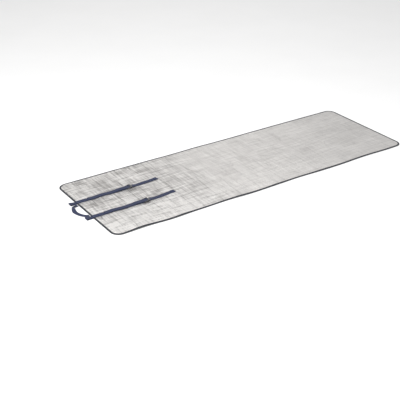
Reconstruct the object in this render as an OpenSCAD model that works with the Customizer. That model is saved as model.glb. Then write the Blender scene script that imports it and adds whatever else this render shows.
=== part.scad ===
// Foam sleeping pad: a thin foil-faced closed-cell mat with a bound edge, two lashing straps
// with ladder-lock buckles, two edge loops and a carry handle, all at the strap end.
// X runs along the mat from the strap end to the far end, Y across it, Z up from the ground.

/* [Mat] */
// Length of the mat, over the binding
mat_l = 1800; // [1500:10:2100]
// Width of the mat, over the binding
mat_w = 600; // [450:10:720]
// Thickness of the mat, foam and both films
mat_t = 3; // [2.6:0.1:6]
// Radius of the four corners
corner_r = 46; // [25:1:80]
// Thickness of the foil face and of the base film
film_t = 0.2; // [0.1:0.05:0.3]

/* [Edge binding] */
// Width of the binding tape on each face
bind_w = 9; // [6:0.5:16]
// Thickness of the binding tape
tape_t = 0.4; // [0.3:0.05:0.5]

/* [Rolling up] */
// Length of the strap end that stays flat on the ground
flap_l = 580; // [520:2:640]
// Number of hinged sections between the flap and the far end
sections = 40; // [34:1:44]
// Number of sections in one turn of the roll
sides = 8; // [7:1:9]
// Free space between the layers of the roll
roll_gap = 3.5; // [3.2:0.1:6]

/* [Webbing] */
// Distance between the middles of the two straps
strap_pitch = 168; // [120:2:240]
// Width of the webbing
web_w = 25; // [18:1:38]
// Thickness of the webbing
web_t = 1.2; // [1:0.1:1.8]
// Distance from the strap end of the mat to the bar that holds the buckle
bar_x = 276; // [200:2:300]
// Distance from the strap end of the mat to the tip of each strap
tip_x = 460; // [400:2:470]
// Length of the stitched double root of each strap
root_l = 60; // [45:1:90]
// Free length of strap that can be pulled on through the buckle
pull = 40; // [20:1:45]

/* [Buckle] */
// Radius of the bars
bar_r = 1.2; // [1:0.1:1.8]
// Thickness of the two side rails
rail_t = 2.6; // [2:0.1:3.5]
// Length of the rails past the fixed bar
rail_l = 28; // [26:1:36]

/* [Edge loops and handle] */
// How far each edge loop stands out from the mat
loop_l = 34; // [30:1:40]
// Clear height inside each edge loop
loop_gap = 5; // [4.6:0.1:6]
// Width of the handle webbing
handle_w = 20; // [16:1:25]
// How far the handle stands out from the mat
handle_reach = 55; // [50:1:75]

/* [Hidden] */
$fn = 64;
// Glue line between the layers, and the small gaps that keep moving pieces apart
bond = 0.05;
joint_gap = 0.2;
rest_gap = 0.2;
sew_gap = 0.5;

// The object's box is centred on X, so the mat starts a little to one side of the middle
end_x = (handle_reach - mat_l) / 2;

// Each section is shorter than the one before it by side_step, so that every turn of the
// polygonal roll lies one layer inside the turn before it
fold = 360 / sides;
layer = mat_t + roll_gap;
side_step = 2 * layer * tan(fold / 2) / sides;
first_l = (mat_l - flap_l) / sections + side_step * (sections - 1) / 2;
function section_x(i) = flap_l + i * first_l - side_step * i * (i - 1) / 2;
function section_name(i) = str("mat_section_", i < 9 ? "0" : "", i + 1);

strap_y = strap_pitch / 2;
rail_y = web_w / 2 + 0.6;
bar_z = rest_gap + web_t + 0.1 + bar_r;
eye_r = bar_r + 0.1 + web_t;
over_z = bar_z + eye_r + rest_gap;
under_z = over_z + web_t + rest_gap;
lift_z = rest_gap + 2 * web_t + 2 * rest_gap;
buckle_top = under_z + 2 * bar_r;
loop_r = loop_gap / 2 + web_t;

// Puts a piece drawn from the strap end of the mat into the object's own frame
module from_end() {
    translate([end_x, 0, 0]) children();
}

// Puts a piece drawn on the mat's top face, along a strap, onto the left (1) or right (-1) side
module on_strap(side) {
    from_end() translate([0, side * strap_y, mat_t]) children();
}

// Outline of the mat, taken in by inset all round
module mat_outline(inset) {
    r = corner_r - inset;
    for (x = [corner_r, mat_l - corner_r], y = [corner_r - mat_w / 2, mat_w / 2 - corner_r])
        translate([x, y]) circle(r);
    translate([inset, corner_r - mat_w / 2]) square([mat_l - 2 * inset, mat_w - 2 * corner_r]);
    translate([corner_r, inset - mat_w / 2]) square([mat_l - 2 * corner_r, mat_w - 2 * inset]);
}

// A flat layer between two heights; hole takes out its middle
module sheet(inset, low, high, hole = 0) {
    translate([0, 0, low]) linear_extrude(high - low) difference() {
        mat_outline(inset);
        if (hole > 0) mat_outline(hole);
    }
}

// Keeps the stretch of the mat between two stations
module stretch_of_mat(from, to) {
    intersection() {
        children();
        translate([from, -mat_w, -mat_t]) cube([to - from, 2 * mat_w, 3 * mat_t]);
    }
}

// Closed-cell foam, pinched thinner where the binding grips it
module foam() {
    core = bind_w + film_t + 2 * bond;
    edge = tape_t + film_t + 2 * bond;
    sheet(core, film_t + bond, mat_t - film_t - bond);
    sheet(tape_t + bond, edge, mat_t - edge);
}

// One film, drawn as the base film: flat in the middle, stepping in under the binding tape
module film() {
    inner = bind_w + bond;
    under = tape_t + bond;
    sheet(inner, 0, film_t);
    sheet(inner, 0, under + film_t, hole = inner + film_t);
    sheet(under, under, under + film_t, hole = inner + film_t);
}

module top_film() {
    translate([0, 0, mat_t]) mirror([0, 0, 1]) film();
}

// Tape folded round the edge, with a flange on each face
module binding() {
    sheet(0, 0, mat_t, hole = tape_t);
    sheet(0, 0, tape_t, hole = bind_w);
    sheet(0, mat_t - tape_t, mat_t, hole = bind_w);
}

module foam_core() {
    color([0.88, 0.88, 0.86]) from_end() stretch_of_mat(-1, flap_l - joint_gap / 2) foam();
}

module foil_face() {
    color([0.80, 0.79, 0.77]) from_end() stretch_of_mat(-1, flap_l - joint_gap / 2) top_film();
}

module base_film() {
    color([0.62, 0.63, 0.65]) from_end() stretch_of_mat(-1, flap_l - joint_gap / 2) film();
}

module edge_binding() {
    color([0.22, 0.23, 0.26]) from_end() stretch_of_mat(-1, flap_l - joint_gap / 2) binding();
}

// One hinged section of the mat, with its own foam, films and two lengths of binding
module mat_section(i) {
    from = section_x(i) + joint_gap / 2;
    to = i == sections - 1 ? mat_l + 1 : section_x(i + 1) - joint_gap / 2;
    from_end() {
        color([0.88, 0.88, 0.86]) stretch_of_mat(from, to) foam();
        color([0.80, 0.79, 0.77]) stretch_of_mat(from, to) top_film();
        color([0.62, 0.63, 0.65]) stretch_of_mat(from, to) film();
        color([0.22, 0.23, 0.26]) stretch_of_mat(from, to) binding();
    }
}

// A ribbon of webbing whose underside follows points [x, z], centred on the strap
module ribbon(points, thickness = web_t) {
    count = len(points);
    top = [for (k = [1 : count]) points[count - k] + [0, thickness]];
    rotate([90, 0, 0]) linear_extrude(web_w, center = true) polygon(concat(points, top));
}

// Root of a strap: two layers of webbing stitched together at the edge of the mat
module strap_root(side) {
    span = [0.5, root_l - joint_gap / 2];
    color([0.20, 0.23, 0.38]) on_strap(side)
        for (z = [rest_gap, rest_gap + web_t + bond])
            ribbon([[span[0], z], [span[1], z]]);
}

// Lower webbing from the root to the buckle, turned round the fixed bar and sewn back down
module strap_web(side) {
    start = root_l + joint_gap / 2;
    sewn_z = rest_gap + web_t + bond;
    color([0.20, 0.23, 0.38]) on_strap(side) {
        difference() {
            union() {
                ribbon([[start, rest_gap], [bar_x, rest_gap]]);
                ribbon([[bar_x - 32, sewn_z], [bar_x - 14, sewn_z],
                        [bar_x, bar_z + eye_r - web_t]]);
                translate([bar_x, 0, bar_z]) rotate([90, 0, 0])
                    cylinder(r = eye_r, h = web_w, center = true);
            }
            translate([bar_x, 0, bar_z]) rotate([90, 0, 0])
                cylinder(r = eye_r - web_t, h = web_w + 1, center = true);
        }
    }
}

// Ladder-lock buckle: two rails, a fixed bar, a middle bar under the strap and a grip bar over it
module buckle(side) {
    grip_x = bar_x + rail_l - 4;
    rail = [[bar_x - 2 * bar_r, bar_z - 1.8 * bar_r], [bar_x + rail_l - 5, bar_z - 1.8 * bar_r],
            [bar_x + rail_l, under_z - bar_r], [bar_x + rail_l, buckle_top],
            [grip_x - 5, buckle_top], [bar_x - 2 * bar_r, bar_z + 1.8 * bar_r]];
    color([0.13, 0.13, 0.15]) on_strap(side) {
        for (y = [rail_y + rail_t / 2, -rail_y - rail_t / 2])
            translate([0, y, 0]) rotate([90, 0, 0])
                linear_extrude(rail_t, center = true) polygon(rail);
        translate([bar_x, 0, bar_z]) rotate([90, 0, 0])
            cylinder(r = bar_r, h = 2 * rail_y + 1, center = true);
        translate([bar_x + rail_l / 2, 0, over_z - rest_gap - bar_r]) rotate([90, 0, 0])
            cylinder(r = bar_r, h = 2 * rail_y + 1, center = true);
        translate([grip_x - 3, -rail_y - 0.5, under_z]) cube([6, 2 * rail_y + 1, 2 * bar_r]);
        translate([grip_x + 2.9, -rail_y / 2, under_z + bar_r]) cube([5, rail_y, bar_r]);
    }
}

// Upper webbing: it lies over the lower one, runs through the buckle and ends on the mat
module strap_tail(side) {
    ramp = 14;
    lift_from = bar_x - eye_r - pull - 2;
    drop_from = bar_x + rail_l + 3;
    tip_t = 2 * web_t + bond;
    color([0.20, 0.23, 0.38]) on_strap(side) {
        ribbon([[root_l + 4, lift_z], [lift_from - ramp, lift_z], [lift_from, over_z],
                [drop_from, over_z], [drop_from + 2 * ramp, rest_gap], [tip_x, rest_gap]]);
        ribbon([[tip_x - 18, rest_gap], [tip_x, rest_gap]], thickness = tip_t);
    }
}

// Teardrop outline: a half circle at the far end, closed to the points given at the mat's edge
module teardrop(radius, mouth) {
    centre = [loop_r - loop_l, loop_r];
    bend = [for (angle = [90 : 7.5 : 270]) centre + radius * [cos(angle), sin(angle)]];
    polygon(concat(bend, mouth));
}

// Loop of webbing caught in the binding below each strap, open from side to side
module edge_loop(side) {
    inner_x = -7;
    color([0.20, 0.23, 0.38]) from_end() translate([0, side * strap_y, 0])
        rotate([90, 0, 0]) linear_extrude(web_w, center = true) difference() {
            teardrop(loop_r, [[-bond, 0], [-bond, mat_t - 0.3]]);
            teardrop(loop_gap / 2, [[inner_x, web_t], [inner_x, web_t + loop_gap / 8]]);
        }
}

// Carry handle: a bow of webbing that lies on the ground between the two edge loops
module carry_handle() {
    half = strap_y - web_w / 2 - sew_gap;
    start = 3.5;
    rise = handle_reach - start;
    bow_r = (half * half + rise * rise) / (2 * rise);
    color([0.20, 0.23, 0.38]) from_end() translate([0, 0, rest_gap])
        linear_extrude(web_t + 0.3) difference() {
            translate([bow_r - handle_reach, 0]) circle(bow_r);
            translate([bow_r - handle_reach, 0]) circle(bow_r - handle_w);
            translate([-start, -mat_w / 2]) square([3 * mat_w, mat_w]);
        }
}

foam_core();
foil_face();
base_film();
edge_binding();
for (i = [0 : sections - 1])
    mat_section(i);
strap_root(1);  // strap_root_left
strap_root(-1);  // strap_root_right
strap_web(1);  // strap_web_left
strap_web(-1);  // strap_web_right
buckle(1);  // buckle_left
buckle(-1);  // buckle_right
strap_tail(1);  // strap_tail_left
strap_tail(-1);  // strap_tail_right
edge_loop(1);  // edge_loop_left
edge_loop(-1);  // edge_loop_right
carry_handle();
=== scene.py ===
"""Foil-faced foam sleeping pad, unrolled on a pale studio floor.

Everything is in metres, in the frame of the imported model: X along the mat from the strap end, Y across it,
Z up. On the mat itself, s is the distance from the strap end and y the distance from the middle line.
"""
import math

import bmesh
import bpy
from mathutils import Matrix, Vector, noise
from mathutils.geometry import interpolate_bezier


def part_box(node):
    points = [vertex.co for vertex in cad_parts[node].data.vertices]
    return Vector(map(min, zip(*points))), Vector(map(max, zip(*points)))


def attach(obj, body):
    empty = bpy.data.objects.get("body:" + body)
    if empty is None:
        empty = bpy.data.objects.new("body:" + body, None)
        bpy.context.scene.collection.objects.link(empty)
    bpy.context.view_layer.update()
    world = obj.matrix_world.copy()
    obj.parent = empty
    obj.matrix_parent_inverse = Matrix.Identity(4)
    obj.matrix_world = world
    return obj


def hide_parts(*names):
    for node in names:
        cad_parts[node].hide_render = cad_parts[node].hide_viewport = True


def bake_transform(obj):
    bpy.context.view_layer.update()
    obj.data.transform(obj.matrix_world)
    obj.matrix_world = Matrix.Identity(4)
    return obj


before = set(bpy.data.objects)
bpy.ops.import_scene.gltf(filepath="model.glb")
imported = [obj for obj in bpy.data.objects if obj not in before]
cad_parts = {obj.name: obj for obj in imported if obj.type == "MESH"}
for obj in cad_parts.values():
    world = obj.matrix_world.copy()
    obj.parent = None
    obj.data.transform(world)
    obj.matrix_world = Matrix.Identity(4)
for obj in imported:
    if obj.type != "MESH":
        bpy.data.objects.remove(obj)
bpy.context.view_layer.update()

MM = 0.001

# ---------------------------------------------------------------- sizes taken from the frame
BINDING_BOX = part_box("edge_binding")
SECTION_NODES = sorted(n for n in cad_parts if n.startswith("mat_section_"))
END_X = BINDING_BOX[0][0]
MAT_T = BINDING_BOX[1][2]
HALF_W = BINDING_BOX[1][1]
MAT_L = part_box(SECTION_NODES[-1])[1][0] - END_X
SIDES = ("left", "right")
STRAP_Y = {side: (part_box("strap_web_" + side)[0][1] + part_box("strap_web_" + side)[1][1]) / 2
           for side in SIDES}
WEB_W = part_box("strap_web_left")[1][1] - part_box("strap_web_left")[0][1]
ROOT_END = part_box("strap_root_left")[1][0] - END_X
TAIL_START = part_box("strap_tail_left")[0][0] - END_X
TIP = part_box("strap_tail_left")[1][0] - END_X
LOOP_OUT = END_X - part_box("edge_loop_left")[0][0]
LOOP_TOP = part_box("edge_loop_left")[1][2]

# ---------------------------------------------------------------- sizes of the soft goods
CORNER_R = 46 * MM
BIND_W = 9 * MM
SLAB_INSET = 1.5 * MM          # the slab stops inside the fold of the binding
PINCH = 0.45 * MM              # how much thinner the foam is where the binding grips it
WEB_T = 1.2 * MM
REST_GAP = 0.2 * MM
BAR_R = 1.2 * MM
BAR_AIR = 0.1 * MM             # between a bar of the buckle and the webbing round it
BAR_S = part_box("buckle_left")[0][0] - END_X + 2 * BAR_R
BAR_Z = REST_GAP + WEB_T + BAR_AIR + BAR_R
EYE_R = BAR_R + BAR_AIR + WEB_T
OVER_Z = BAR_Z + EYE_R + REST_GAP
LIFT_Z = REST_GAP + 2 * WEB_T + 2 * REST_GAP
PULL = 40 * MM                 # how far the tail slides through the buckle
RAIL_L = 28 * MM
HANDLE_W = 20 * MM
CELL = 6 * MM                  # mesh spacing on the mat
STITCH_PITCH, STITCH_L, STITCH_R = 4 * MM, 2.7 * MM, 0.32 * MM            # on the binding
STRAP_PITCH, STRAP_STITCH_L, STRAP_STITCH_R = 2.6 * MM, 1.9 * MM, 0.26 * MM
UP = Vector((0, 0, 1))


def smooth(low, high, value):
    t = min(max((value - low) / (high - low), 0), 1)
    return t * t * (3 - 2 * t)


# ---------------------------------------------------------------- how the mat lies
# Places where a long edge lifts off the floor: distance along, height in mm, spread along
NEAR_LIFTS = [(0.15, 5.0, 0.075), (0.36, 3.0, 0.060), (0.70, 2.4, 0.070), (0.93, 1.8, 0.055),
              (1.22, 1.4, 0.080), (1.52, 1.2, 0.070)]
FAR_LIFTS = [(0.30, 1.2, 0.090), (0.84, 1.0, 0.080), (1.38, 1.0, 0.090)]
LIFT_FROM = 0.13               # nearer the middle line than this, nothing lifts
ROLLING = 0.35 * MM            # half the height of the slow unevenness of the whole mat
# Under the straps the mat is quite flat: where that begins to ease and where it ends, along and across
FLAT_S, FLAT_Y = (0.50, 0.56), (0.105, 0.14)
NEAR_WAVE, NEAR_RIPPLE, FAR_WAVE = 3.0 * MM, 1.3 * MM, 0.7 * MM
WAVE_FREE = (0.04, 0.16)       # from an end, the edges begin to wander here and are free here


def lift(s, y):
    """Height of the underside of the mat above the floor."""
    height = 0.0
    for places, edge in ((NEAR_LIFTS, -y), (FAR_LIFTS, y)):
        share = smooth(LIFT_FROM, HALF_W, edge) ** 1.5
        if share > 0:
            height += share * sum(h * MM * math.exp(-((s - at) / w) ** 2) for at, h, w in places)
    rolling = ROLLING * (1 + noise.noise(Vector((s * 11, y * 7, 2.5))))
    under_straps = (1 - smooth(*FLAT_S, s)) * (1 - smooth(*FLAT_Y, abs(y)))
    return height + rolling * (1 - under_straps)


def sway(s, y):
    """How far the edge of the mat wanders sideways: the binding pulls it in and lets it out."""
    near = NEAR_WAVE * math.sin(s * 13.1 + 0.4) + NEAR_RIPPLE * math.sin(s * 29.0 + 2.0) * (1 - s / MAT_L)
    far = FAR_WAVE * math.sin(s * 17.0)
    ends = smooth(*WAVE_FREE, s) * smooth(*WAVE_FREE, MAT_L - s)
    return (near if y < 0 else far) * ends * (abs(y) / HALF_W) ** 6


def place(s, y, z):
    """A point of the mat, with z measured up from its underside."""
    return (END_X + s, y + sway(s, y), z + lift(s, y))


def inset(s, y):
    """Distance from a point of the mat in to its rounded outline."""
    a = abs(s - MAT_L / 2) - (MAT_L / 2 - CORNER_R)
    b = abs(y) - (HALF_W - CORNER_R)
    return CORNER_R - math.hypot(max(a, 0), max(b, 0)) - min(max(a, b), 0)


def half_width(s, margin):
    """Half the width of the outline, taken in by margin, at a distance from the strap end."""
    end = min(s, MAT_L - s)
    r = CORNER_R - margin
    if end >= CORNER_R:
        return HALF_W - margin
    return HALF_W - CORNER_R + math.sqrt(max(r * r - (CORNER_R - end) ** 2, 0))


# ---------------------------------------------------------------- mesh helpers
def mesh_object(name, verts, faces, uvs, materials, face_slots=None, sharp=()):
    mesh = bpy.data.meshes.new(name)
    mesh.from_pydata([tuple(v) for v in verts], [], faces)
    layer = mesh.uv_layers.new(name="flat")
    for loop in mesh.loops:
        layer.data[loop.index].uv = uvs[loop.vertex_index]
    for material in materials:
        mesh.materials.append(material)
    for polygon in mesh.polygons:
        polygon.use_smooth = True
        polygon.material_index = face_slots[polygon.index] if face_slots else 0
    if sharp:
        wanted = {frozenset(pair) for pair in sharp}
        for edge in mesh.edges:
            if frozenset(edge.vertices) in wanted:
                edge.use_edge_sharp = True
    mesh.validate()
    obj = bpy.data.objects.new(name, mesh)
    bpy.context.scene.collection.objects.link(obj)
    return obj


class Shape:
    """Collects the parts of one piece before it becomes a mesh."""

    def __init__(self):
        self.verts, self.faces, self.uvs, self.slots, self.sharp = [], [], [], [], []

    def tube(self, rings, ring_uvs):
        """Closed rings of points joined along their length, with a flat cap at each end."""
        base, size = len(self.verts), len(rings[0])
        for ring, uv in zip(rings, ring_uvs):
            self.verts += ring
            self.uvs += uv
        for k in range(len(rings) - 1):
            for j in range(size):
                a, b = base + k * size + j, base + k * size + (j + 1) % size
                self.faces.append((a, b, b + size, a + size))
                self.slots.append(0)
        for first, order in ((base, -1), (base + (len(rings) - 1) * size, 1)):
            cap = [first + j for j in range(size)][::order]
            self.faces.append(tuple(cap))
            self.slots.append(0)
            self.sharp += [(first + j, first + (j + 1) % size) for j in range(size)]

    def stitch(self, centre, along, length, radius):
        """One stitch of thread, drawn as a grain that stands a little proud; thread is material 1."""
        side = along.cross(UP).normalized()
        base = len(self.verts)
        self.verts += [centre - along * length / 2, centre + along * length / 2]
        for end in (-0.28, 0.28):
            for c, d in ((1, 0), (0, 1), (-1, 0), (0, -1)):
                self.verts.append(centre + along * length * end + side * radius * c * 1.3 + UP * radius * d)
        self.uvs += [(v[0], v[1]) for v in self.verts[base:]]
        for j in range(4):
            a, b = base + 2 + j, base + 2 + (j + 1) % 4
            self.faces += [(base, b, a), (a, b, b + 4, a + 4), (base + 1, a + 4, b + 4)]
            self.slots += [1] * 3

    def done(self, name, materials):
        return mesh_object(name, self.verts, self.faces, self.uvs, materials, self.slots, self.sharp)


def spaced(start, end, step):
    count = max(2, round(abs(end - start) / step) + 1)
    return [start + (end - start) * k / (count - 1) for k in range(count)]


# ---------------------------------------------------------------- materials
class Nodes:
    """A material built node by node, with the flat layout of the piece in metres as its coordinates."""

    def __init__(self, name):
        self.material = bpy.data.materials.new(name)
        self.material.use_nodes = True
        self.tree = self.material.node_tree
        self.shader = self.tree.nodes["Principled BSDF"]
        self.coords = self.add("ShaderNodeTexCoord").outputs["UV"]

    def add(self, kind, **settings):
        node = self.tree.nodes.new(kind)
        for key, value in settings.items():
            setattr(node, key, value)
        return node

    def link(self, source, target):
        self.tree.links.new(source, target)

    def scaled(self, scale, rotation=0.0):
        node = self.add("ShaderNodeMapping")
        node.inputs["Scale"].default_value = scale
        node.inputs["Rotation"].default_value = (0, 0, rotation)
        self.link(self.coords, node.inputs["Vector"])
        return node.outputs["Vector"]

    def noise(self, scale, detail=3.0, distortion=0.0):
        node = self.add("ShaderNodeTexNoise")
        node.inputs["Scale"].default_value = 1.0
        node.inputs["Detail"].default_value = detail
        node.inputs["Distortion"].default_value = distortion
        self.link(self.scaled(scale), node.inputs["Vector"])
        return node.outputs["Fac"]

    def math(self, operation, a, b=0.0):
        node = self.add("ShaderNodeMath", operation=operation)
        for socket, value in zip(node.inputs, (a, b)):
            if isinstance(value, (int, float)):
                socket.default_value = value
            else:
                self.link(value, socket)
        return node.outputs[0]

    def ranged(self, value, start, end, low, high, kind="SMOOTHSTEP"):
        """Goes from low to high as a value goes from start to end, and stays there outside them."""
        node = self.add("ShaderNodeMapRange", interpolation_type=kind)
        for socket, number in (("From Min", start), ("From Max", end), ("To Min", low), ("To Max", high)):
            node.inputs[socket].default_value = number
        self.link(value, node.inputs["Value"])
        return node.outputs["Result"]

    def line_at(self, offset, width):
        """A thin raised line where an offset is nothing."""
        return self.ranged(self.math("ABSOLUTE", offset), 0.0, width, 1.0, 0.0)

    def ridges(self, scale, width, detail=2.0, distortion=0.0):
        """Thin raised lines where a noise crosses its middle."""
        return self.line_at(self.math("SUBTRACT", self.noise(scale, detail, distortion), 0.5), width)

    def ramp(self, value, *stops):
        node = self.add("ShaderNodeValToRGB")
        elements = node.color_ramp.elements
        while len(elements) < len(stops):
            elements.new(0.5)
        for element, (position, colour) in zip(elements, stops):
            element.position = position
            element.color = (*colour, 1)
        self.link(value, node.inputs["Fac"])
        return node.outputs["Color"]

    def spread(self, value, low, high):
        """Spreads the middle part of a noise between low and high."""
        return self.ranged(value, 0.3, 0.7, low, high, kind="LINEAR")

    def bump(self, *layers):
        """Layers of (height, strength, distance in metres), the coarsest first."""
        normal = None
        for height, strength, distance in layers:
            node = self.add("ShaderNodeBump")
            node.inputs["Strength"].default_value = strength
            node.inputs["Distance"].default_value = distance
            self.link(height, node.inputs["Height"])
            if normal is not None:
                self.link(normal, node.inputs["Normal"])
            normal = node.outputs["Normal"]
        self.link(normal, self.shader.inputs["Normal"])


def set_shader(nodes, **values):
    for name, value in values.items():
        nodes.shader.inputs[name.replace("_", " ")].default_value = value


# Folds in the foil near the straps: distance along at the middle line, and how far each leans
FOLDS = [(0.085, 0.03), (0.200, -0.05), (0.272, 0.02), (0.305, -0.03)]
FOLD_W = 2.2 * MM
# The strap end lies outermost in the roll, so it is the most worn. It eases off between these distances.
WORN_S, LEAST_WORN = (0.35, 0.80), 0.28
NEAR_LIT_Y, NEAR_PAINTED_HIGHLIGHT = -0.26, 0.075        # painted highlight: the near side is painted brighter, the most from here outwards


def fold_lines(n, along, across_mat):
    """Folds straight across the strap end, each fading in and out."""
    shown = n.spread(n.noise((3, 14, 1), detail=2.0), 0.0, 1.0)
    folds = 0.0
    for at, lean in FOLDS:
        middle = n.math("ADD", n.math("MULTIPLY", across_mat, lean), at)
        line = n.line_at(n.math("SUBTRACT", along, middle), FOLD_W)
        folds = n.math("ADD", n.math("MULTIPLY", line, shown), folds)
    return folds


def foil_tone(n, across_mat, worn):
    """Patches, streaks along the mat and ribs across it, plus a painted highlight brightening the near side,
    as a tone about one half.
    """
    patches, streaks, ribs = (n.noise(scale) for scale in ((6, 9, 1), (8, 70, 1), (100, 9, 1)))
    tone = 0.0
    for pattern, share in ((patches, 0.30), (streaks, 0.50), (ribs, 0.45)):
        tone = n.math("ADD", n.math("MULTIPLY", n.math("SUBTRACT", pattern, 0.5), share), tone)
    # Painted highlight: the tone is raised towards the near side of the mat
    tone = n.math("ADD", tone, n.ranged(across_mat, 0.0, NEAR_LIT_Y, 0.0, NEAR_PAINTED_HIGHLIGHT))
    return n.math("ADD", n.math("MULTIPLY", tone, worn), 0.5)


def foil_material():
    """Aluminised film on foam: embossed cells, streaks both ways, creases where it was rolled, with painted
    shade darkening the creases and folds.
    """
    n = Nodes("foil")
    set_shader(n, Metallic=0.86)
    split = n.add("ShaderNodeSeparateXYZ")
    n.link(n.coords, split.inputs[0])
    along, across_mat = split.outputs["X"], split.outputs["Y"]
    worn = n.ranged(along, *WORN_S, 1.0, LEAST_WORN)

    cells = n.add("ShaderNodeTexVoronoi", feature="SMOOTH_F1")
    cells.inputs["Scale"].default_value = 1.0
    n.link(n.scaled((260, 260, 260), 0.6), cells.inputs["Vector"])
    crinkle = n.noise((70, 110, 1), detail=6.0, distortion=1.0)
    lines = n.noise((9, 260, 1), detail=3.0)
    creases = n.ridges((15, 1.1, 1), 0.010, detail=1.0)
    slant = n.ridges((9, 14, 1), 0.007, distortion=0.6)
    crinkle, lines, creases = (n.math("MULTIPLY", height, worn) for height in (crinkle, lines, creases))
    folds = fold_lines(n, along, across_mat)

    tone = foil_tone(n, across_mat, worn)
    # Painted shade: the colour is darkened along the creases and folds
    for painted_crease_shade, share in ((creases, 0.06), (folds, 0.10)):
        tone = n.math("SUBTRACT", tone, n.math("MULTIPLY", painted_crease_shade, share))
    colour = n.ramp(tone, (0.38, (0.40, 0.385, 0.375)), (0.60, (0.90, 0.88, 0.86)))
    n.link(colour, n.shader.inputs["Base Color"])
    n.link(n.spread(crinkle, 0.28, 0.44), n.shader.inputs["Roughness"])
    n.bump((crinkle, 1.0, 0.0040), (creases, 1.0, 0.0030), (folds, 1.0, 0.0030), (slant, 0.6, 0.0010),
           (lines, 1.0, 0.0020), (cells.outputs["Distance"], 0.8, 0.0009))
    return n.material


def film_material():
    """The plain film underneath: duller than the foil, with a soft crinkle."""
    n = Nodes("base_film")
    set_shader(n, Metallic=0.35)
    crinkle = n.noise((60, 60, 1), detail=5.0, distortion=0.5)
    grain = n.noise((900, 900, 1), detail=2.0)
    colour = n.ramp(crinkle, (0.3, (0.40, 0.41, 0.43)), (0.7, (0.50, 0.51, 0.53)))
    n.link(colour, n.shader.inputs["Base Color"])
    n.link(n.spread(crinkle, 0.45, 0.6), n.shader.inputs["Roughness"])
    n.bump((crinkle, 0.4, 0.001), (grain, 0.3, 0.0002))
    return n.material


def woven_material(name, dark, light, pitch, roughness, sheen):
    """Woven tape: ribs across its width, crossed by fine yarns along it, a little faded and fuzzy."""
    n = Nodes(name)
    set_shader(n, Sheen_Weight=sheen, Sheen_Roughness=0.5)
    ribs, yarns = (n.add("ShaderNodeTexWave", bands_direction=d) for d in ("X", "Y"))
    for wave, scale in ((ribs, (1 / pitch, 1 / pitch, 1)), (yarns, (0.5 / pitch, 0.5 / pitch, 1))):
        # a wave node repeats every pi / 10 of its coordinate at scale 1
        wave.inputs["Scale"].default_value = math.pi / 10
        wave.inputs["Distortion"].default_value = 0.4
        n.link(n.scaled(scale), wave.inputs["Vector"])
    yarn = n.math("ADD", n.math("MULTIPLY", yarns.outputs["Fac"], 0.6), 0.4)
    weave = n.math("MULTIPLY", ribs.outputs["Fac"], yarn)
    wear = n.noise((45, 70, 1), detail=4.0)
    tone = n.math("ADD", n.math("MULTIPLY", weave, 0.45), n.math("MULTIPLY", wear, 0.55))
    n.link(n.ramp(tone, (0.15, dark), (0.80, light)), n.shader.inputs["Base Color"])
    n.link(n.spread(wear, roughness - 0.08, roughness + 0.08), n.shader.inputs["Roughness"])
    fuzz = n.noise((2600, 2600, 1), detail=2.0)
    n.bump((weave, 0.8, 0.0004), (fuzz, 0.25, 0.0001))
    return n.material


def plastic_material():
    """Moulded plastic; the CAD buckle has no flat layout, so its own coordinates are used."""
    n = Nodes("buckle_plastic")
    n.coords = n.tree.nodes["Texture Coordinate"].outputs["Object"]
    set_shader(n, Coat_Weight=0.6, Coat_Roughness=0.12)
    grain, wear = n.noise((1800, 1800, 1800), detail=2.0), n.noise((160, 160, 160), detail=4.0)
    colour = n.ramp(wear, (0.35, (0.010, 0.011, 0.015)), (0.75, (0.036, 0.038, 0.048)))
    n.link(colour, n.shader.inputs["Base Color"])
    n.link(n.spread(wear, 0.18, 0.34), n.shader.inputs["Roughness"])
    n.bump((grain, 0.25, 0.0001))
    return n.material


FOIL, FILM = foil_material(), film_material()
BINDING = woven_material("binding_tape", (0.014, 0.016, 0.021), (0.046, 0.050, 0.060),
                         pitch=0.7 * MM, roughness=0.82, sheen=0.03)
WEBBING = woven_material("webbing", (0.007, 0.011, 0.034), (0.030, 0.042, 0.100),
                         pitch=1.3 * MM, roughness=0.74, sheen=0.04)
THREAD = woven_material("thread", (0.045, 0.050, 0.065), (0.120, 0.130, 0.155),
                        pitch=0.5 * MM, roughness=0.65, sheen=0.2)
STRAP_THREAD = woven_material("strap_thread", (0.030, 0.042, 0.100), (0.090, 0.120, 0.250),
                              pitch=0.5 * MM, roughness=0.6, sheen=0.2)
PLASTIC = plastic_material()

# ---------------------------------------------------------------- the mat
# Columns of the slab near its edge, closest where the binding's grip on the foam ends
PINCH_STEPS = [0, 2.5 * MM, 5.5 * MM, 7.2 * MM, 8.6 * MM, 10.5 * MM, 13 * MM]
GRIP_ENDS = (BIND_W - 1.2 * MM, BIND_W + 2.8 * MM)
UNEVEN = 0.12 * MM             # height of the small unevenness of the upper face
FILM_UP = 0.05 * MM            # the base film lies this much above the binding's own underside
PUCKER = 0.14 * MM             # how much the stitching puckers the binding
CORNER_STEPS = 14


def across(s):
    """The y of each column of the slab at one distance along it, from the right edge to the left."""
    half = half_width(s, SLAB_INSET)
    inner = half - PINCH_STEPS[-1]
    count = round(2 * (HALF_W - SLAB_INSET - PINCH_STEPS[-1]) / CELL)
    middle = [-inner + 2 * inner * k / count for k in range(1, count)]
    edge = [half - step for step in PINCH_STEPS]
    return [-y for y in edge] + middle + edge[::-1]


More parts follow.
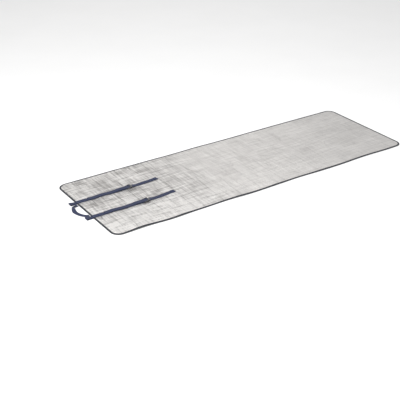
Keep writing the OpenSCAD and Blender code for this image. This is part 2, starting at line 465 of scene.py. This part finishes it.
def slab(name, stations):
    """A stretch of the mat itself: foil on top, base film below, foam between them."""
    shape = Shape()
    rings, ring_uvs = [], []
    for s in stations:
        ys = across(s)
        top, bottom = [], []
        for y in ys:
            grip = 1 - smooth(*GRIP_ENDS, inset(s, y))
            crinkle = UNEVEN * noise.noise(Vector((s * 24, y * 24, 7.5))) * (1 - grip)
            top.append(Vector(place(s, y, MAT_T - PINCH * grip + crinkle)))
            bottom.append(Vector(place(s, y, FILM_UP + PINCH * grip)))
        rings.append(top + bottom[::-1])
        ring_uvs.append([(s, y) for y in ys] + [(s, y) for y in ys[::-1]])
    shape.tube(rings, ring_uvs)
    per_ring = len(rings[0])
    on_top = per_ring // 2 - 1
    for k in range((len(rings) - 1) * per_ring):
        shape.slots[k] = 0 if k % per_ring < on_top else 1
    return shape.done(name, [FOIL, FILM])


# Cross-section of the folded binding tape, in mm: distance in from the edge, and height
TAPE = [(9.0, 0.05), (4.5, 0.02), (1.2, 0.18), (0.2, 0.9), (0.0, 1.6), (0.2, 2.35), (1.2, 3.05),
        (3.2, 3.28), (5.4, 3.20), (6.5, 3.04), (7.6, 3.16), (9.0, 3.02), (9.0, 2.64), (5.0, 2.66),
        (1.5, 2.52), (1.0, 1.6), (1.5, 0.50), (9.0, 0.42)]
STITCH_IN = 6.5 * MM
STITCH_UP = 3.10 * MM


def edge_stations(steps, side):
    """Stations of the binding along one edge. Each gives the (s, y) of a point at a depth in from it."""
    return [lambda depth, s=s: (s, side * half_width(s, depth)) for s in steps]


def corner_stations(cut, side, place_s):
    """Stations round one corner, from cut (a distance from the end) to the end itself."""
    def station(share):
        def at(depth):
            r = CORNER_R - depth
            first = math.asin(min((CORNER_R - cut) / r, 1)) if cut < CORNER_R else 0.0
            angle = first + (math.pi / 2 - first) * share
            return place_s(CORNER_R - r * math.sin(angle)), side * (HALF_W - CORNER_R + r * math.cos(angle))
        return at
    return [station(k / CORNER_STEPS) for k in range(CORNER_STEPS + 1)]


def end_stations(cut, at_start):
    """Stations from one long edge, round a whole end of the mat and back along the other edge."""
    def place_s(distance):
        return distance if at_start else MAT_L - distance

    def leg(side):
        straight = [place_s(d) for d in spaced(cut, CORNER_R, CELL)[:-1]] if cut > CORNER_R else []
        return edge_stations(straight, side) + corner_stations(min(cut, CORNER_R), side, place_s)

    flat = HALF_W - CORNER_R
    crossing = [lambda depth, y=y: (place_s(depth), y) for y in spaced(flat, -flat, CELL)[1:-1]]
    return leg(1) + crossing + leg(-1)[::-1]


def binding(name, runs):
    """Tape folded over the edge along each run of stations, with its row of stitches."""
    shape = Shape()
    for run in runs:
        rings, ring_uvs, travelled, previous = [], [], 0.0, None
        seam = []
        for station in run:
            edge = Vector((*station(0), 0))
            travelled += (edge - previous).length if previous else 0
            previous = edge
            pucker = PUCKER * noise.noise(edge * 60 + UP * 4.5)
            ring, uv = [], []
            for depth_mm, up_mm in TAPE:
                swell = pucker if up_mm > 1.0 else 0
                ring.append(Vector(place(*station(depth_mm * MM), up_mm * MM + swell)))
                uv.append((travelled, (depth_mm + up_mm) * MM))
            rings.append(ring)
            ring_uvs.append(uv)
            seam.append(Vector(place(*station(STITCH_IN), STITCH_UP)))
        shape.tube(rings, ring_uvs)
        spare = STITCH_PITCH / 2
        for a, b in zip(seam, seam[1:]):
            length = (b - a).length
            while length > 0 and spare <= length:
                shape.stitch(a.lerp(b, spare / length), (b - a).normalized(), STITCH_L, STITCH_R)
                spare += STITCH_PITCH
            spare -= length
    return shape.done(name, [BINDING, THREAD])


def face_out(obj):
    """Turns every closed shell of a piece to face outwards."""
    work = bmesh.new()
    work.from_mesh(obj.data)
    bmesh.ops.recalc_face_normals(work, faces=work.faces)
    work.to_mesh(obj.data)
    work.free()
    return obj


def mat_piece(label, steps, runs):
    """A stretch of the mat as two pieces: the foam with its films, and the tape round its edge."""
    pad = face_out(slab("mat_pad_" + label, steps))
    tape = face_out(binding("binding_" + label, runs))
    return pad, tape


def middle_of(node):
    low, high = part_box(node)
    return (low[0] + high[0]) / 2 - END_X


FIRST_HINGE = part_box(SECTION_NODES[0])[0][0] - END_X
FAR_CUT = 10.5 * MM            # the last bend ends here, short of the far end
CUTS = [2 * FIRST_HINGE - middle_of(SECTION_NODES[0])] + [middle_of(node) for node in SECTION_NODES]
CUTS[-1] = MAT_L - FAR_CUT
BODIES = ["flap"] + ["section_" + node[-2:] for node in SECTION_NODES]
END_STEPS = [SLAB_INSET + step for step in PINCH_STEPS]

pad, tape = mat_piece("strap_end", END_STEPS + spaced(END_STEPS[-1] + 4 * MM, CUTS[0], CELL),
                      [end_stations(CUTS[0], True)])
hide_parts("foam_core", "foil_face", "base_film")
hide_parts("edge_binding")
for piece in (pad, tape):
    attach(piece, "flap")

for k, node in enumerate(SECTION_NODES):
    steps = spaced(CUTS[k], CUTS[k + 1], CELL)
    pad, tape = mat_piece(node[-2:], steps, [edge_stations(steps, side) for side in (1, -1)])
    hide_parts(node)
    for piece in (pad, tape):
        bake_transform(piece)

far_steps = [MAT_L - d for d in [FAR_CUT] + [d for d in END_STEPS[::-1] if d < FAR_CUT - 1 * MM]]
for piece in mat_piece("far_end", far_steps, [end_stations(FAR_CUT, False)]):
    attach(piece, BODIES[-1])


# ---------------------------------------------------------------- webbing
WEB_STEP, TURN_STEP = 3 * MM, 0.2          # between cross-sections: along webbing, and (radians) round a turn
HALF = WEB_T / 2
LAYER = WEB_T + 0.05 * MM
TOP_LAYER = REST_GAP + LAYER + HALF        # middle of the second layer of webbing, above the mat
CROWN, SHOULDER = 1.1, 1.08                # how much fuller webbing is at its middle and beside it


def ribbon(shape, points, width, tilts=None):
    """Webbing that follows a centre line, with rounded selvages; tilts turn it about that line."""
    section = [(-width / 2, 0), (-width / 2 + HALF / 2, HALF), (-width / 4, HALF * SHOULDER),
               (0, HALF * CROWN), (width / 4, HALF * SHOULDER), (width / 2 - HALF / 2, HALF), (width / 2, 0)]
    section += [(a, -b) for a, b in section[-2:0:-1]]
    rings, uvs, run = [], [], 0.0
    for k, point in enumerate(points):
        ahead = (points[min(k + 1, len(points) - 1)] - points[max(k - 1, 0)]).normalized()
        flat = Vector((-ahead.y, ahead.x, 0))
        flat = flat.normalized() if flat.length > 0.02 else Vector((0, 1, 0))
        if flat.y < 0 and tilts is None:
            flat = -flat
        across_web = flat if tilts is None else flat * math.cos(tilts[k]) + UP * math.sin(tilts[k])
        normal = across_web.cross(ahead).normalized()
        run += (point - points[k - 1]).length if k else 0
        rings.append([point + across_web * a + normal * b for a, b in section])
        uvs.append([(run, a) for a, b in section])
    shape.tube(rings, uvs)


def eased(corners, step=WEB_STEP, reach=5 * MM):
    """A line through corner points (s, z), rounded at each corner, as closely spaced points."""
    line = []
    for k, here in enumerate(corners):
        if k in (0, len(corners) - 1):
            line.append(Vector(here))
            continue
        back, on = Vector(corners[k - 1]) - Vector(here), Vector(corners[k + 1]) - Vector(here)
        a = Vector(here) + back.normalized() * min(reach, back.length / 2)
        b = Vector(here) + on.normalized() * min(reach, on.length / 2)
        line += [a.lerp(Vector(here), t).lerp(Vector(here).lerp(b, t), t) for t in (0, 0.25, 0.5, 0.75, 1)]
    spread = [line[0]]
    for a, b in zip(line, line[1:]):
        parts = max(1, math.ceil((b - a).length / step))
        spread += [a.lerp(b, j / parts) for j in range(1, parts + 1)]
    return [p for k, p in enumerate(spread) if k == 0 or (p - spread[k - 1]).length > 0.02 * MM]


STRAIGHT_FROM = BAR_S - PULL - EYE_R - 14 * MM      # from here to STRAIGHT_TO it runs through the buckle
STRAIGHT_TO = BAR_S + RAIL_L + 6 * MM
STRAY_PHASE = {"left": 0.4, "right": 2.1}
STRAY_BEFORE, STRAY_AFTER, VEER = 2.4 * MM, 1.6 * MM, 10 * MM
EASE_BEFORE, EASE_AFTER = 50 * MM, 60 * MM


def wander(s, side):
    """How far the loose webbing strays sideways; none at the root, or where it runs through the buckle."""
    before = smooth(ROOT_END, ROOT_END + EASE_BEFORE, s)
    before *= 1 - smooth(STRAIGHT_FROM - EASE_BEFORE, STRAIGHT_FROM, s)
    after = smooth(STRAIGHT_TO, STRAIGHT_TO + EASE_AFTER, s)
    stray = STRAY_BEFORE * before * math.sin(s * 52 + STRAY_PHASE[side])
    stray += STRAY_AFTER * after * math.sin((s - STRAIGHT_TO) * 40 + STRAY_PHASE[side])
    return stray + VEER * smooth(STRAIGHT_TO, TIP, s)


def on_strap(side, s, z):
    """A point on a strap, with z measured up from the top of the mat."""
    return Vector((END_X + s, STRAP_Y[side] + wander(s, side), MAT_T + z))


def row_of_stitches(shape, side, start, end, z):
    """Stitches between two (s, y) places on a strap."""
    a, b = (Vector((END_X + s, STRAP_Y[side] + y, MAT_T + z)) for s, y in (start, end))
    along = (b - a).normalized()
    count = max(1, round((b - a).length / STRAP_PITCH))
    for k in range(count):
        shape.stitch(a.lerp(b, (k + 0.5) / count), along, STRAP_STITCH_L, STRAP_STITCH_R)


def rows_across(shape, side, places, z):
    """A row of stitches across a strap at each place along it, from selvage to selvage."""
    reach = WEB_W / 2 - 2 * MM
    for s in places:
        y = wander(s, side)
        row_of_stitches(shape, side, (s, y - reach), (s, y + reach), z)


def box_stitch(shape, side, start, end, z):
    """The square of stitches with a cross in it that holds two layers of webbing."""
    y = WEB_W / 2 - 3 * MM
    corners = [(start, -y), (end, -y), (end, y), (start, y)]
    square = list(zip(corners, corners[1:] + corners[:1]))
    cross = [(corners[0], corners[2]), (corners[1], corners[3])]
    for a, b in square + cross:
        row_of_stitches(shape, side, a, b, z)


OVER_TAPE = 0.35 * MM                      # webbing sewn to the mat's end rises this much over the binding
SEWN_FROM = 0.5 * MM                       # and begins this far in from the end
ROOT_ROWS = (3.5 * MM, 6.5 * MM)
BOX_S = (13 * MM, ROOT_END - 9 * MM)
ON_WEB = HALF * CROWN + 0.08 * MM          # thread on top of webbing, above the middle of the webbing
TURN_R = BAR_R + BAR_AIR + HALF
BACK_S = (BAR_S - 14 * MM, BAR_S - 32 * MM)           # the sewn-back end is down again here, and ends here
BACK_ROWS = [BAR_S - d * MM for d in (29, 26, 19, 16)]
RAMP = 14 * MM                             # the tail climbs to the buckle over this, and comes down over two
CLIMBED = BAR_S - EYE_R - PULL - 2 * MM
DROP = BAR_S + RAIL_L + 3 * MM
WEB_END = TIP - 0.7 * MM
TIP_FOLD = TIP - 18 * MM                   # the folded-back tip reaches back to here
TIP_ROWS = (TIP - 15 * MM, TIP - 12.5 * MM)
TAIL_WAVE = {"left": 0.75 * MM, "right": 0.55 * MM}


def over_tape(s):
    """How far webbing sewn to the end of the mat is raised by the binding below it."""
    return OVER_TAPE * (1 - smooth(8 * MM, 20 * MM, s))


def add_strap_root(side):
    """The short top layer of webbing, sewn to the mat."""
    root = Shape()
    ribbon(root, [on_strap(side, s, TOP_LAYER + over_tape(s))
                  for s in spaced(SEWN_FROM, ROOT_END - 0.6 * MM, WEB_STEP)], WEB_W)
    box_stitch(root, side, *BOX_S, TOP_LAYER + ON_WEB)
    rows_across(root, side, ROOT_ROWS, TOP_LAYER + OVER_TAPE + ON_WEB)
    root = face_out(root.done("strap_root_webbing_" + side, [WEBBING, STRAP_THREAD]))
    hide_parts("strap_root_" + side)
    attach(root, "strap_foot_" + side)


def add_strap_lower(side):
    """The lower webbing: along the mat, round the buckle's fixed bar and sewn back on itself."""
    web = Shape()
    lower = [on_strap(side, s, REST_GAP + HALF + over_tape(s)) for s in spaced(SEWN_FROM, BAR_S, WEB_STEP)]
    bend = [on_strap(side, BAR_S + TURN_R * math.sin(a), BAR_Z - TURN_R * math.cos(a))
            for a in spaced(0, math.pi, TURN_STEP)]
    back = [on_strap(side, p.x, p.y) for p in
            eased([(BAR_S, BAR_Z + TURN_R), (BACK_S[0], TOP_LAYER), (BACK_S[1], TOP_LAYER)])]
    ribbon(web, lower + bend[1:] + back[1:], WEB_W)
    # Drawn down into the webbing, clear of the tail that slides over them
    rows_across(web, side, BACK_ROWS, TOP_LAYER + HALF - 0.05 * MM)
    web = face_out(web.done("strap_lower_webbing_" + side, [WEBBING, STRAP_THREAD]))
    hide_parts("strap_web_" + side)
    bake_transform(web)


def tail_wave(s, side):
    """How far the loose end of the tail arches off the mat."""
    free = smooth(DROP + 3 * RAMP, DROP + 5 * RAMP, s) * (1 - smooth(TIP - 40 * MM, TIP - 24 * MM, s))
    return TAIL_WAVE[side] * math.sin((s - DROP) * 60) ** 2 * free


def add_strap_tail(side):
    """The running tail: over the lower webbing, through the buckle and down to its folded tip."""
    tail = Shape()
    profile = eased([(TAIL_START, LIFT_Z + HALF), (CLIMBED - RAMP, LIFT_Z + HALF), (CLIMBED, OVER_Z + HALF),
                     (DROP, OVER_Z + HALF), (DROP + 2 * RAMP, REST_GAP + HALF), (WEB_END, REST_GAP + HALF)])
    ribbon(tail, [on_strap(side, p.x, p.y + tail_wave(p.x, side)) for p in profile], WEB_W)
    ribbon(tail, [on_strap(side, s, TOP_LAYER) for s in spaced(TIP_FOLD, WEB_END, WEB_STEP)], WEB_W)
    rows_across(tail, side, TIP_ROWS, TOP_LAYER + HALF + 0.1 * MM)
    tail = face_out(tail.done("strap_tail_webbing_" + side, [WEBBING, STRAP_THREAD]))
    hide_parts("strap_tail_" + side)
    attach(tail, "tail_" + side)


def dress_buckle(side):
    """The buckle keeps its shape from the frame, with its edges rounded as moulded plastic."""
    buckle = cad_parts["buckle_" + side]
    buckle.data.materials.clear()
    buckle.data.materials.append(PLASTIC)
    bevel = buckle.modifiers.new("moulded_edges", "BEVEL")
    bevel.width, bevel.segments, bevel.limit_method = 0.35 * MM, 2, "ANGLE"


def add_edge_loop(side):
    """A loop of webbing caught in the binding below a strap."""
    loop_r = LOOP_TOP / 2 - HALF
    centre = -LOOP_OUT + LOOP_TOP / 2
    line = [(-0.3 * MM, HALF + 0.25 * MM), (centre, HALF)]
    line += [(centre - loop_r * math.sin(a), LOOP_TOP / 2 - loop_r * math.cos(a))
             for a in spaced(0, math.pi, TURN_STEP)[1:-1]]
    line += [(centre, LOOP_TOP - HALF), (-7 * MM, WEB_T + HALF + 0.6 * MM),
             (-0.3 * MM, WEB_T + HALF + 0.3 * MM)]
    edge_loop = Shape()
    ribbon(edge_loop, [Vector((END_X + s, STRAP_Y[side], z)) for s, z in line], WEB_W)
    edge_loop = face_out(edge_loop.done("edge_loop_webbing_" + side, [WEBBING]))
    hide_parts("edge_loop_" + side)
    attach(edge_loop, "flap")


for side in SIDES:
    add_strap_root(side)
    add_strap_lower(side)
    add_strap_tail(side)
    dress_buckle(side)
    add_edge_loop(side)

# The carry handle is a bow of webbing, pushed over to the left. It stands up on its edge there.
HANDLE_ROOT = 59.4 * MM
# Ends and control points of its curve: distance out from the edge of the mat, and y
HANDLE_CURVE = [(3.5 * MM, HANDLE_ROOT), (74 * MM, HANDLE_ROOT),
                (40 * MM, -HANDLE_ROOT), (3.5 * MM, -HANDLE_ROOT)]
HANDLE_POINTS = 49
STAND_AT, STAND_SPREAD, STAND_ANGLE = 46 * MM, 22 * MM, math.radians(58)
points, tilts, run = [], [], 0.0
line = interpolate_bezier(*(Vector((*corner, 0)) for corner in HANDLE_CURVE), HANDLE_POINTS)
for before, here in zip([line[0]] + line, line):
    run += (here - before).length
    stand = STAND_ANGLE * math.exp(-((run - STAND_AT) / STAND_SPREAD) ** 2)
    tilts.append(stand)
    points.append(Vector((END_X - here.x, here.y, REST_GAP + HALF + HANDLE_W / 2 * math.sin(stand))))
handle = Shape()
ribbon(handle, points, HANDLE_W, tilts=tilts)
handle = face_out(handle.done("carry_handle_webbing", [WEBBING]))
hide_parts("carry_handle")
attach(handle, "handle")

# ---------------------------------------------------------------- studio
def plain_material(name, colour, roughness):
    n = Nodes(name)
    tone = n.noise((3, 3, 1), detail=2.0)
    darker = tuple(c * 0.985 for c in colour)
    n.link(n.ramp(tone, (0.3, darker), (0.7, colour)), n.shader.inputs["Base Color"])
    set_shader(n, Roughness=roughness)
    return n.material


FLOOR = 12.0
FLOOR_BELOW = 0.4 * MM         # clear of everything that lies on it
floor_corners = [(-FLOOR, -FLOOR), (FLOOR, -FLOOR), (FLOOR, FLOOR), (-FLOOR, FLOOR)]
floor = mesh_object("floor", [(x, y, 0) for x, y in floor_corners], [(0, 1, 2, 3)], floor_corners,
                    [plain_material("pale_floor", (0.90, 0.90, 0.90), 0.7)])
floor.location.z = -FLOOR_BELOW

world = bpy.data.worlds.new("studio")
world.use_nodes = True
world.node_tree.nodes["Background"].inputs["Color"].default_value = (1, 1, 1, 1)
world.node_tree.nodes["Background"].inputs["Strength"].default_value = 0.64
bpy.context.scene.world = world
bpy.context.scene.view_settings.view_transform = "Standard"


def softbox(name, at, towards, size, power, tint=(1, 1, 1)):
    light = bpy.data.lights.new(name, "AREA")
    light.shape, light.size, light.size_y = "RECTANGLE", *size
    light.energy, light.color = power, tint
    obj = bpy.data.objects.new(name, light)
    obj.location = at
    obj.rotation_euler = (Vector(towards) - Vector(at)).to_track_quat("-Z", "Y").to_euler()
    bpy.context.scene.collection.objects.link(obj)


softbox("key", (-1.8, -1.2, 3.6), (0, 0, 0), (2.6, 2.6), 170)
softbox("back", (1.75, 3.65, 2.6), (0, 0, 0), (3.5, 1.9), 11.5, (1.0, 0.985, 0.96))

# ---------------------------------------------------------------- camera, at the photograph's angle
AZIMUTH, ELEVATION = math.radians(34.0), math.radians(27.9)
FIELD, SENSOR = math.radians(25.75), 36.0
look = Vector((math.sin(AZIMUTH) * math.cos(ELEVATION), math.cos(AZIMUTH) * math.cos(ELEVATION),
               -math.sin(ELEVATION)))
TARGET, DISTANCE = Vector((END_X + 0.513, -0.218, 0)), 4.224
camera_data = bpy.data.cameras.new("camera")
camera_data.sensor_width = SENSOR
camera_data.lens = SENSOR / (2 * math.tan(FIELD / 2))
camera = bpy.data.objects.new("camera", camera_data)
camera.location = TARGET - look * DISTANCE
camera.rotation_euler = look.to_track_quat("-Z", "Y").to_euler()
bpy.context.scene.collection.objects.link(camera)
bpy.context.scene.camera = camera
